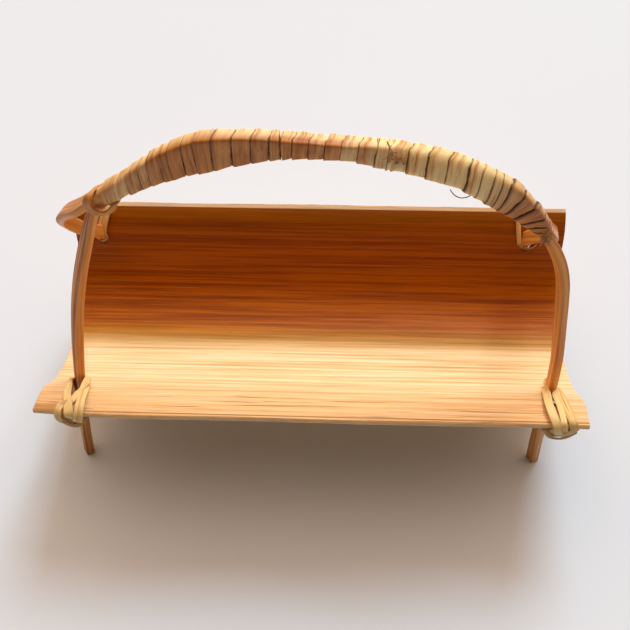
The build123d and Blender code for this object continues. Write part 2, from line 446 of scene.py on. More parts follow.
def caneMaterial(name, look, surface):
    # flat strands; the fibre attribute runs along each strand
    shade = Shade(name, 0.46)
    place = shade.coordinates("fibre")
    streaks = shade.grain(place, surface["streaksPerM"], surface["fibresPerM"], 40.0, look["offset"])
    bright = tuple(min(1, 1.1 * c) for c in look["straw"])
    tone = shade.ramp(streaks["Streaks"], [(0.1, look["shadow"]), (0.5, look["straw"]), (0.95, bright)])
    # browner strands, and painted shade where the brown attribute carries it
    brown = shade.between(shade.attribute("brown"), -0.3, 1.3)
    colour = shade.mix(brown, tone, shade.mix(streaks["Streaks"], look["deep"], look["shadow"]))
    # painted shade in the open seams between turns of cane
    colour = shade.mix(shade.attribute("seam"), colour, surface["seamShadeColour"])
    colour = shade.mix(shade.calc("MULTIPLY", streaks["Flecks"], 0.4), colour, surface["fleckColour"])
    shade.bump(streaks["Fibres"], 0.0004, 0.35)
    return shade.done(colour, shade.between(streaks["Streaks"], 0.0, 1.0, 0.58, 0.42))


bambooInside = sheetMaterial(sheetLook)
bambooSkin = skinMaterial(skinLook)
bambooCutEdge = edgeMaterial(edgeLook)
bentStrip = stripMaterial(stripLook)
caneWinding, caneLashing, caneFray = (caneMaterial(name, look, caneSurface)
                                      for name, look in caneLooks.items())
print("materials made")

traySheet = {
    "section": [(-70, 91), (-54, 83), (-39, 66.5), (-9.5, 47.1), (20, 40), (47.4, 53.3), (56.5, 75.5),
                (62, 86), (70.4, 92.2)],  # inner face as (y, z), front lip to back lip
    "length": 300.0,
    "thickness": 2.2,
    "rimThickness": (3.0, 2.4),  # front, back
    "rows": 130,
    "columns": 170,
    "ridges": [(0.004, 46, 1.3, 0.16), (0.01, 120, 5.1, 0.08)],  # turns along and across, seed, height
    "lipSag": (-1.6, -1.3),
    "sagShare": 1 / 8,  # of the width
    "sagLength": 40.0,
    "endWander": 0.5,
    "endReach": 12.0,
    "rimWander": 0.5,
    "edgeInset": 0.35,
    "edgeRound": [(0.2, 0.35), (0.5, 0.5), (0.8, 0.35)],  # share of the thickness, how far it stands out
}


def buildTraySheet(spec):
    section = smoothLine([(y, z, 0) for y, z in spec["section"]], spec["rows"])[:, :2]
    slope = np.gradient(section, axis=0)
    slope /= np.linalg.norm(slope, axis=1)[:, None]
    normals = np.array([-slope[:, 1], slope[:, 0]]).T  # towards the inside of the trough
    rows = spec["rows"]
    half = spec["length"] / 2
    xs = list(np.linspace(-half, half, spec["columns"]))
    xs = [-half, -half + 0.4] + xs[1:-1] + [half - 0.4, half]

    def rounded(first, last, way):
        points = []
        for t, reach in spec["edgeRound"]:
            mid = [first[k] * (1 - t) + last[k] * t for k in range(3)]
            points.append((mid[0], mid[1] + way[0] * reach, mid[2] + way[1] * reach))
        return points

    loops = []
    for column, x in enumerate(xs):
        inset = spec["edgeInset"] if column in (0, len(xs) - 1) else 0.0
        endSeed = 0.3 if x > 0 else 7.7
        towardsEnd = max(0.0, (abs(x) - half + spec["endReach"]) / spec["endReach"])
        tops, bottoms = [], []
        for i in range(rows):
            share = i / (rows - 1)
            across = min(share, 1 - share)
            rim = spec["rimThickness"][0 if share < 0.5 else 1]
            thick = rim + (spec["thickness"] - rim) * min(1, across * 14)
            ridge = sum(noise.noise(Vector((x * along, share * wide, seed))) * height
                        for along, wide, seed, height in spec["ridges"])
            nearRim = 1 - min(1, across * 6)
            wander = noise.noise(Vector((x * 0.013, share * 2.0, 8.7))) * spec["rimWander"] * nearRim
            place = section[i] + slope[i] * wander
            # the front lip sags away from the left end
            fromLeft = max(0.0, min(1.0, (x + half) / spec["sagLength"]))
            sag = max(0.0, 1 - share / spec["sagShare"]) ** 2 * fromLeft
            place = place + np.array(spec["lipSag"]) * sag
            endShift = noise.noise(Vector((share * 9, 4.2, endSeed))) * spec["endWander"] * towardsEnd
            px = max(-half, min(half, x - endShift * (1 if x > 0 else -1)))
            top = place + normals[i] * (ridge - inset)
            bottom = place + normals[i] * (-thick + inset + ridge * 0.4)
            tops.append((px, top[0], top[1]))
            bottoms.append((px, bottom[0], bottom[1]))
        # inner face, back rim, outer face, front rim
        loops.append(tops + rounded(tops[-1], bottoms[-1], slope[-1]) + bottoms[::-1]
                     + rounded(bottoms[0], tops[0], -slope[0]))
    size = len(loops[0])
    vertices = scaled([v for loop in loops for v in loop])
    faces, kinds = [], []
    for c in range(len(loops) - 1):
        for k in range(size):
            a, b = c * size + k, c * size + (k + 1) % size
            faces.append((a, b, b + size, a + size))
            inner, outer = k < rows - 1, rows + 2 < k < 2 * rows + 2
            kinds.append(0 if inner else 1 if outer else 2)
    for c in (0, len(loops) - 1):
        base = c * size
        mirror = base + 2 * rows + 1
        faces += [(base + k, base + k + 1, mirror - k, mirror + 1 - k) for k in range(rows - 1)]
        faces.append(tuple(base + k for k in range(rows - 1, rows + 4)))
        faces.append((*range(mirror + 1, mirror + 5), base))
        kinds += [2] * (rows + 1)
    return meshObject("traySheet", vertices, faces, [bambooInside, bambooSkin, bambooCutEdge], kinds, 50)


slots = {  # x at the near and the far end, then y (or z on the back wall) from and to
    "frontLeft": {"x": (-131.4, -135.8), "from": -60.0, "to": -33.0, "width": 6.8, "cut": "down"},
    "frontRight": {"x": (134.2, 136.0), "from": -60.0, "to": -32.5, "width": 6.8, "cut": "down"},
    "backLeft": {"x": (-133.8, -133.8), "from": 69.0, "to": 82.0, "width": 6.8, "cut": "level"},
    "backRight": {"x": (127.6, 127.0), "from": 69.0, "to": 82.0, "width": 7.0, "cut": "level"},
}


# down and level say how far a cut reaches
slotCut = {"steps": 12, "point": 0.42, "down": (40.0, 100.0), "level": (46.0, 80.0)}


def cutSlots(piece, places, spec):
    # pointed openings, each a prism taken out of the sheet
    cutters = []
    steps = spec["steps"]
    for name, slot in places.items():
        outline = []
        for i in range(2 * steps):
            share = i / steps if i <= steps else 2 - i / steps
            side = 1 if i <= steps else -1
            middle = slot["x"][0] + (slot["x"][1] - slot["x"][0]) * share
            swell = max(0.0, math.sin(math.pi * share)) ** spec["point"]
            outline.append((middle + side * slot["width"] / 2 * swell,
                            slot["from"] + (slot["to"] - slot["from"]) * share))
        down = slot["cut"] == "down"
        vertices = [(x, along, reach) if down else (x, reach, along)
                    for reach in spec[slot["cut"]] for x, along in outline]
        count = len(outline)
        faces = [(k, (k + 1) % count, count + (k + 1) % count, count + k) for k in range(count)]
        faces += [tuple(range(count)), tuple(range(2 * count - 1, count - 1, -1))]
        cutter = meshObject(name, scaled(vertices), faces, [bambooInside, bambooSkin, bambooCutEdge],
                            [2] * len(faces))
        cutters.append(cutter)
        taken = piece.modifiers.new(name, "BOOLEAN")
        taken.operation = "DIFFERENCE"
        taken.solver = "EXACT"
        taken.object = cutter
    asPlainMesh(piece, "traySheet")
    for cutter in cutters:
        bpy.data.objects.remove(cutter)
    piece.data.set_sharp_from_angle(angle=math.radians(50))


tray = buildTraySheet(traySheet)
cutSlots(tray, slots, slotCut)
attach(tray, "root")
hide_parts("tray")
print("tray sheet made,", len(tray.data.polygons), "faces")

gripLine = smoothLine([(-110, 0, 181.5), (-84, 0, 202.5), (-50, 0, 221), (-3, 0, 227.5), (43, 0, 221),
                       (80, 0, 204.5), (107, 0, 181.5), (121, 0, 164.5)], 240)
gripTangent = np.gradient(gripLine, axis=0)
gripTangent /= np.linalg.norm(gripTangent, axis=1)[:, None]
gripOut = np.array([-gripTangent[:, 2], np.zeros(len(gripLine)), gripTangent[:, 0]]).T

strips = {  # leg points, then the turn of the section in degrees
    "frontStrip": {
        "leftLeg": [(-140.8, -54.1, 0, 34), (-139.4, -50, 20, 30), (-138, -47.8, 33, 28),
                    (-134.4, -39, 66.5, 28), (-131.9, -29.4, 90, 34), (-128.2, -17.8, 115, 38),
                    (-122.8, -8.5, 137, 38), (-116.4, -2.2, 157, 36), (-111.6, -0.2, 170, 24)],
        "rightLeg": [(119.4, 0, 163, 20), (124.8, -2.2, 155, 34), (130.4, -6.6, 143.5, 34),
                     (134.6, -17.8, 115, 28), (136.2, -29.4, 90, 14), (135.6, -39, 66.5, 4),
                     (134.4, -46.6, 36, 14), (135.2, -51.6, 0, 26)],
        "lift": -2.1,
        "wide": 1.0,
    },
    "backStrip": {
        "leftLeg": [(-134.5, 66.3, 0, 0), (-134, 65.4, 33, 0), (-134, 62.8, 64, 0), (-134, 57, 79, 0),
                    (-134.4, 45, 98, -4), (-134.4, 31, 120, -12), (-133.2, 18.5, 142, -20),
                    (-130.2, 9.5, 159, -20), (-124, 4.5, 170, -12), (-118.6, 1.2, 176.5, 0)],
        "rightLeg": [(121.4, 1.4, 164.4, 0), (124.6, 6.4, 155.4, 0), (127.8, 13, 145, 0),
                     (129, 28, 123, 0), (128, 45, 99, 0), (127.2, 57, 80, 0), (127, 62.8, 65, 0),
                     (127.7, 65.4, 33, 0), (128.7, 66.3, 0, 0)],
        "lift": 2.1,
        "wide": 1.2,
    },
}
stripSection = {"thickness": 5.2, "width": 6.6, "corner": 8.0, "points": 40, "groove": 0.26,
                "unevenness": 0.14, "gripWidth": 0.8, "steps": 420}


def buildStrip(name, spec, section):
    inGrip = [tuple(gripLine[i] + gripOut[i] * spec["lift"]) for i in range(6, len(gripLine) - 6, 12)]
    route = [(*point, spec["wide"]) for point in spec["leftLeg"]]
    route += [(*point, 0.0, section["gripWidth"]) for point in inGrip]
    route += [(*point, spec["wide"]) for point in spec["rightLeg"]]
    line = smoothLine(route, section["steps"])
    line[:, 2] = np.maximum(line[:, 2], 0.0)
    outline = roundedOutline(section["thickness"], section["width"], section["corner"], section["points"])

    def outward(centre, tangent, row):
        out = tangent.cross(Vector((0, 1, 0)))
        return Matrix.Rotation(math.radians(row[3]) * (1 if centre.x < 0 else -1), 3, tangent) @ out

    vertices, faces, coords = sweep(line, outline, outward, 0.4)
    # the bark side keeps its ridges, the split sides are smooth but not quite even
    bark, shaped = [], []
    count = section["points"]
    for i, vertex in enumerate(vertices):
        along, out, side = coords[i]
        onBark = max(0.0, min(1.0, (out / section["thickness"] * 2 - 0.55) * 4))
        ridge = noise.noise(Vector((along * 0.02, side * 1.9, 3.0 + len(name)))) * section["groove"] * onBark
        wave = noise.noise(Vector((along * 0.06, out * 0.4, side * 0.3 + 11))) * section["unevenness"]
        ring = i // count
        middle = sum((vertices[ring * count + k] for k in (0, count // 2)), Vector()) / 2
        shaped.append(vertex + (vertex - middle).normalized() * (ridge + wave))
        bark.append(onBark)
    for v in shaped:
        v.z = max(v.z, 0.0)
    piece = meshObject(name, scaled(shaped), faces, [bentStrip], None, 60)
    addAttribute(piece.data, "fibre", "FLOAT_VECTOR", scaled(coords))
    addAttribute(piece.data, "bark", "FLOAT", bark)
    return piece


for name, node in (("frontStrip", "front_hoop"), ("backStrip", "back_hoop")):
    strip = buildStrip(name, strips[name], stripSection)
    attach(strip, "root")
    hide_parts(node)
print("bent strips made")

windings = {  # turns: width of each; seam: how open each edge between turns is
    "gripWindingLeft": {
        "node": "grip_wrap_left",
        "ends": (0.045, 0.42),
        "turns": [9.5, 9.5, 9, 5.9, 8.3, 4.9, 8.7, 6.2, 8.9, 10.2, 9.1, 9, 5.5],
        "seam": [0.02, 0.02, 0.02, 0.05, 0.07, 0.09, 0.06, 0.15, 0.06, 0.10, 0.11, 0.09, 0.19, 0.08],
    },
    "gripWindingMiddle": {
        "node": "grip_wrap_middle",
        "ends": (0.42, 0.583),
        "turns": [5.1, 7.4, 7.4, 7.4, 7.8, 8.2],
        "seam": [0.08, 0.08, 0.05, 0.05, 0.05, 0.05, 0.1],
    },
    "gripWindingRight": {
        "node": "grip_wrap_right",
        "ends": (0.583, 1.0),
        "turns": [5.8, 9.2, 9.5, 9.8, 11.3, 7, 7, 4.9, 4.9, 7.6, 8, 8.6, 6, 5.5, 5.5],
        "seam": [0.1, 0.05, 0.08, 0.09, 0.07, 0.14, 0.06, 0.08, 0.1, 0.17, 0.18, 0.19, 0.19, 0.18, 0.16, 0.1],
    },
}
gripShape = {  # (share of the grip's length, size) pairs, then single values
    "top": [(0, 5.4), (0.05, 5.4), (0.1, 5.5), (0.14, 6.6), (0.2, 9.6), (0.285, 12.3), (0.37, 9.5),
            (0.44, 6.6), (0.5, 5.6), (0.58, 6.6), (0.66, 8.2), (0.72, 9.4), (0.79, 9.4), (0.86, 9.6),
            (0.93, 7.0), (0.97, 4.8), (1.0, 3.0)],
    "bottom": [(0, 5.2), (0.1, 5.2), (0.2, 8.6), (0.285, 10.2), (0.37, 7.6), (0.46, 4.8), (0.52, 4.8),
               (0.62, 6.2), (0.7, 6.4), (0.78, 6.8), (0.86, 7.2), (0.93, 6.2), (1.0, 4.2)],
    "depth": [(0, 4.6), (0.1, 4.4), (0.5, 3.9), (0.58, 4.6), (0.66, 6.0), (0.72, 6.5), (0.8, 6.2),
              (0.86, 5.0), (0.93, 4.2), (1.0, 3.4)],
    "corner": [(0, 3.6), (0.1, 3.4), (0.2, 4.6), (0.28, 7.0), (0.5, 8.0), (0.57, 5.0), (0.64, 2.8),
               (0.8, 2.8), (0.87, 4.5), (1.0, 4.0)],
    "lean": [(0, 6), (0.15, 0), (0.54, 0), (0.64, 30), (0.76, 34), (0.84, 12), (0.9, 0), (1.0, 0)],
    "upright": [(0, 0.8), (0.5, 0.8), (0.7, 0.9), (0.84, 0.5), (0.9, 0.05), (0.95, -0.35), (1.0, -0.6)],
    # shade: how much painted shade darkens the front of the grip, which faces away from the lamp
    "shade": [(0, 0.4), (0.12, 0.5), (0.2, 1.1), (0.45, 1.15), (0.56, 0.7), (0.64, 0.0), (0.78, 0.0),
              (0.88, 0.7), (1.0, 0.6)],
    "bevel": [(0, 10.5), (0.84, 10.5), (0.92, 8.0), (1.0, 7.0)],
    "brown": [(0, 0.45), (0.1, 0.1), (0.3, 0.1), (0.5, -0.1), (0.6, -0.2), (0.78, -0.15), (0.86, 0.5),
              (1.0, 0.6)],
    "overlap": 0.55,
    "frontLean": 0.07,
    "seamDepth": 0.6,
    "unevenness": 0.5,
    "around": 96,
    "stepAlong": 0.26,
    "pathPoints": 160,
    "sharpAbove": 55,
}


def windingTree(material):
    # a tube round the path whose surface steps where one turn of cane laps the next
    tree = bpy.data.node_groups.new("caneTurns", "GeometryNodeTree")
    for name, kind in (("Geometry", "Geometry"), ("Points along", "Int"), ("Points around", "Int"),
                       ("Overlap", "Float"), ("Seam depth", "Float"), ("Unevenness", "Float"),
                       ("Seed", "Float"), ("Path length", "Float"), ("Front lean", "Float")):
        tree.interface.new_socket(name=name, in_out="INPUT", socket_type="NodeSocket" + kind)
    tree.interface.new_socket(name="Geometry", in_out="OUTPUT", socket_type="NodeSocketGeometry")
    make = NodeTree(tree)
    node, calc, vectorCalc = make.node, make.calc, make.vectorCalc
    given = node("NodeGroupInput").outputs

    curve = node("GeometryNodeMeshToCurve", Mesh=given["Geometry"]).outputs["Curve"]
    grid = node("GeometryNodeMeshGrid", Size_X=1.0, Size_Y=1.0, Vertices_X=given["Points along"],
                Vertices_Y=given["Points around"])
    place = node("ShaderNodeSeparateXYZ", Vector=node("GeometryNodeInputPosition").outputs[0]).outputs
    along = calc("ADD", place["X"], 0.5)
    around = calc("ADD", place["Y"], 0.5)

    def readPath(name, factor=along):
        reader = node("GeometryNodeInputNamedAttribute", {"data_type": "FLOAT"}, Name=name)
        settings = {"mode": "FACTOR", "data_type": "FLOAT", "use_all_curves": True}
        return node("GeometryNodeSampleCurve", settings, Curves=curve, Value=reader.outputs["Attribute"],
                    Factor=factor).outputs

    path = readPath("top")
    top, bottom = path["Value"], readPath("bottom")["Value"]
    halfHeight = calc("MULTIPLY", calc("ADD", top, bottom), 0.5)
    lift = calc("MULTIPLY", calc("SUBTRACT", top, bottom), 0.5)
    halfDepth = readPath("depth")["Value"]
    angle = calc("MULTIPLY", around, 2 * math.pi)
    cosine, sine = calc("COSINE", angle), calc("SINE", angle)
    # the section: flat sides with rounded corners, and a bevel low at the front
    power = readPath("corner")["Value"]
    leant = calc("SUBTRACT", angle, calc("RADIANS", readPath("lean")["Value"]))
    flatSide = calc("POWER", calc("ABSOLUTE", calc("DIVIDE", calc("COSINE", leant), halfDepth)), power)
    flatTop = calc("POWER", calc("ABSOLUTE", calc("DIVIDE", calc("SINE", leant), halfHeight)), power)
    reach = calc("POWER", calc("ADD", flatSide, flatTop), calc("DIVIDE", -1.0, power))
    low = calc("COSINE", calc("ADD", angle, math.radians(52)))
    reach = calc("MINIMUM", reach, calc("DIVIDE", readPath("bevel")["Value"], calc("MAXIMUM", low, 0.3)))
    height = calc("MULTIPLY", reach, sine)
    # the turns stand nearly upright, whatever the slope of the grip
    tangent = node("ShaderNodeSeparateXYZ", Vector=path["Tangent"]).outputs
    slope = calc("DIVIDE", tangent["Z"], calc("MAXIMUM", tangent["X"], 0.35))
    leaning = calc("MULTIPLY", height, calc("MULTIPLY", slope, readPath("upright")["Value"]))
    place = calc("SUBTRACT", along, calc("DIVIDE", leaning, given["Path length"]))
    turnAlong = readPath("turn", place)["Value"]
    # the strand crosses the front straight and climbs on the far side
    signed = calc("SUBTRACT", around, calc("GREATER_THAN", around, 0.5))
    front = node("ShaderNodeMapRange", {"interpolation_type": "SMOOTHSTEP"}, Value=cosine, From_Min=-0.25,
                 From_Max=0.4).outputs["Result"]
    crossing = calc("MULTIPLY", calc("DIVIDE", height, halfHeight), given["Front lean"])
    climbed = calc("SUBTRACT", signed, calc("MULTIPLY", front, calc("SUBTRACT", signed, crossing)))
    # which turn of the strand this is, and how far across it
    turn = calc("SUBTRACT", turnAlong, climbed)
    number = calc("FLOOR", turn)
    share = calc("FRACT", turn)
    travel = calc("ADD", number, signed)
    chanceNoise = node("ShaderNodeTexNoise", {"noise_dimensions": "1D"}, Scale=1.0, Detail=0.0,
                       W=calc("ADD", calc("MULTIPLY", travel, 1.4), given["Seed"]))
    chance = calc("ADD", calc("MULTIPLY", calc("SUBTRACT", chanceNoise.outputs[0], 0.5), 2.2), 0.5)
    breaks = node("ShaderNodeTexNoise", {"noise_dimensions": "1D"}, Scale=1.0, Detail=2.0,
                  W=calc("ADD", calc("MULTIPLY", travel, 9.0), given["Seed"]))
    seamWidth = calc("MULTIPLY", readPath("seam", place)["Value"], calc("MULTIPLY", breaks.outputs[0], 1.5))
    near = calc("MINIMUM", share, calc("SUBTRACT", 1.0, share))
    seam = node("ShaderNodeMapRange", {"interpolation_type": "SMOOTHSTEP"}, Value=near, From_Min=0.0,
                From_Max=seamWidth, To_Min=1.0, To_Max=0.0).outputs["Result"]
    # the strand: one edge up, the other tucked under, a shallow crown and a seam
    tilt = calc("MULTIPLY", calc("SUBTRACT", 0.5, share), given["Overlap"])
    uneven = calc("MULTIPLY", calc("SUBTRACT", chance, 0.5), given["Unevenness"])
    wobblePlace = node("ShaderNodeCombineXYZ", X=calc("MULTIPLY", turnAlong, 0.9),
                       Y=calc("MULTIPLY", cosine, 0.9), Z=calc("MULTIPLY", sine, 0.9))
    wobble = node("ShaderNodeTexNoise", {"noise_dimensions": "3D"}, Scale=1.0, Detail=1.0,
                  Vector=wobblePlace.outputs[0])
    wobbled = calc("MULTIPLY", calc("SUBTRACT", wobble.outputs[0], 0.5), 0.9)
    raised = calc("SUBTRACT", calc("ADD", calc("ADD", tilt, uneven), wobbled),
                  calc("MULTIPLY", seam, given["Seam depth"]))
    closing = node("ShaderNodeMapRange", {"interpolation_type": "LINEAR"},
                   Value=calc("MINIMUM", along, calc("SUBTRACT", 1.0, along)), From_Min=0.0, From_Max=0.002)
    reach = calc("MULTIPLY", calc("ADD", reach, raised), closing.outputs["Result"])
    depthwise = vectorCalc("SCALE", (0.0, -1.0, 0.0), scale=calc("MULTIPLY", reach, cosine))
    outward = vectorCalc("CROSS_PRODUCT", path["Tangent"], (0.0, 1.0, 0.0))
    upward = vectorCalc("SCALE", outward, scale=calc("ADD", calc("MULTIPLY", reach, sine),
                                                     calc("MULTIPLY", lift, closing.outputs["Result"])))
    position = vectorCalc("ADD", path["Position"], vectorCalc("ADD", depthwise, upward))
    metres = vectorCalc("SCALE", position, scale=mm)
    # a strand's length per turn, its width and a step sideways, so that no two turns look alike
    fibre = node("ShaderNodeCombineXYZ", X=calc("MULTIPLY", travel, 0.035), Y=calc("MULTIPLY", share, 0.008),
                 Z=calc("MULTIPLY", travel, 0.004))
    geometry = grid.outputs["Mesh"]
    # the strand's own brown, varied per turn, plus painted shade on the front of the grip
    brown = calc("ADD", readPath("brown")["Value"], calc("MULTIPLY", calc("SUBTRACT", chance, 0.5), 0.4))
    brown = calc("ADD", brown, calc("MULTIPLY", front, readPath("shade")["Value"]))
    for name, kind, source in (("fibre", "FLOAT_VECTOR", fibre.outputs[0]), ("seam", "FLOAT", seam),
                               ("brown", "FLOAT", brown)):
        stored = node("GeometryNodeStoreNamedAttribute", {"data_type": kind, "domain": "POINT"}, Name=name,
                      Geometry=geometry)
        make.feed([s for s in stored.inputs if s.name == "Value" and s.enabled][0], source)
        geometry = stored.outputs["Geometry"]
    moved = node("GeometryNodeSetPosition", Geometry=geometry, Position=metres)
    merged = node("GeometryNodeMergeByDistance", Geometry=moved.outputs["Geometry"], Distance=0.000001)
    smooth = node("GeometryNodeSetShadeSmooth", Geometry=merged.outputs["Geometry"])
    real = node("GeometryNodeRealizeInstances", Geometry=smooth.outputs["Geometry"])
    painted = node("GeometryNodeSetMaterial", Geometry=real.outputs["Geometry"], Material=material)
    make.feed(node("NodeGroupOutput").inputs["Geometry"], painted.outputs["Geometry"])
    return tree


def buildWinding(name, spec, shape, tree, seed):
    start, end = (share * (len(gripLine) - 1) for share in spec["ends"])
    places = np.linspace(start, end, shape["pathPoints"])
    rows = np.arange(len(gripLine))
    points = np.array([np.interp(places, rows, gripLine[:, k]) for k in range(3)]).T
    length = np.linalg.norm(np.diff(points, axis=0), axis=1).sum()
    edges = np.concatenate([[0.0], np.cumsum(spec["turns"])])
    edges *= length / edges[-1]
    distance = np.linspace(0, length, len(points))
    base = bpy.data.meshes.new(name)
    base.from_pydata([tuple(p) for p in points], [(i, i + 1) for i in range(len(points) - 1)], [])
    addAttribute(base, "turn", "FLOAT", np.interp(distance, edges, np.arange(len(edges))))
    addAttribute(base, "seam", "FLOAT", np.interp(distance, edges, spec["seam"]))
    for key in ("top", "bottom", "depth", "corner", "lean", "upright", "shade", "bevel", "brown"):
        shares, sizes = zip(*shape[key])
        addAttribute(base, key, "FLOAT", np.interp(places / rows[-1], shares, sizes))
    piece = newObject(name, base)
    turns = piece.modifiers.new("turns", "NODES")
    turns.node_group = tree
    sockets = {item.name: item.identifier for item in tree.interface.items_tree if item.in_out == "INPUT"}
    for key, value in (("Points along", int(length / shape["stepAlong"])),
                       ("Points around", shape["around"]),
                       ("Overlap", shape["overlap"]), ("Seam depth", shape["seamDepth"]),
                       ("Unevenness", shape["unevenness"]),
                       ("Seed", seed * 17.0), ("Path length", length), ("Front lean", shape["frontLean"])):
        turns[sockets[key]] = value
    asPlainMesh(piece, name)
    piece.data.set_sharp_from_angle(angle=math.radians(shape["sharpAbove"]))
    return piece


turnTree = windingTree(caneWinding)
for seed, (name, spec) in enumerate(windings.items()):
    winding = buildWinding(name, spec, gripShape, turnTree, seed + 3)
    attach(winding, "root")
    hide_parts(spec["node"])
    print(name, len(winding.data.polygons), "faces")

# the strand that ties the left end of the grip
gripRing = {
    "points": [(-103.2, 4.9, 186), (-104.4, 4.4, 190.4), (-106, 0.5, 192.4), (-107.6, -3.6, 192.9),
               (-109, -5.3, 190.2), (-108.9, -5.4, 185.9), (-106.3, -5.3, 182.2), (-102.3, -5.2, 181.4),
               (-98.4, -4.9, 183.4), (-95.8, -3.6, 186.2), (-95, 0.6, 185.8), (-97, 4.6, 185.4),
               (-100.4, 5.2, 185)],
    "width": 4.2,
    "thickness": 1.5,
    "corner": 3.5,
    "flatness": 2.5,  # how much closer the ring lies at the front and the back
    "brown": 1.0,
}


def buildRing(spec):
    def outward(centre, tangent, row):
        nearest = gripLine[np.argmin(np.linalg.norm(gripLine[:, :3] - np.array(centre), axis=1))]
        away = centre - Vector(nearest)
        away.y *= spec["flatness"]
        return away

    line = smoothLine(spec["points"], 150)
    outline = roundedOutline(spec["thickness"], spec["width"], spec["corner"], 20)
    shape = sweep(line, outline, outward, 0.3)
    return caneObject("gripRing", shape, caneWinding, [spec["brown"]] * len(shape[0]))


ring = buildRing(gripRing)
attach(ring, "root")
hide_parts("grip_end_ring")

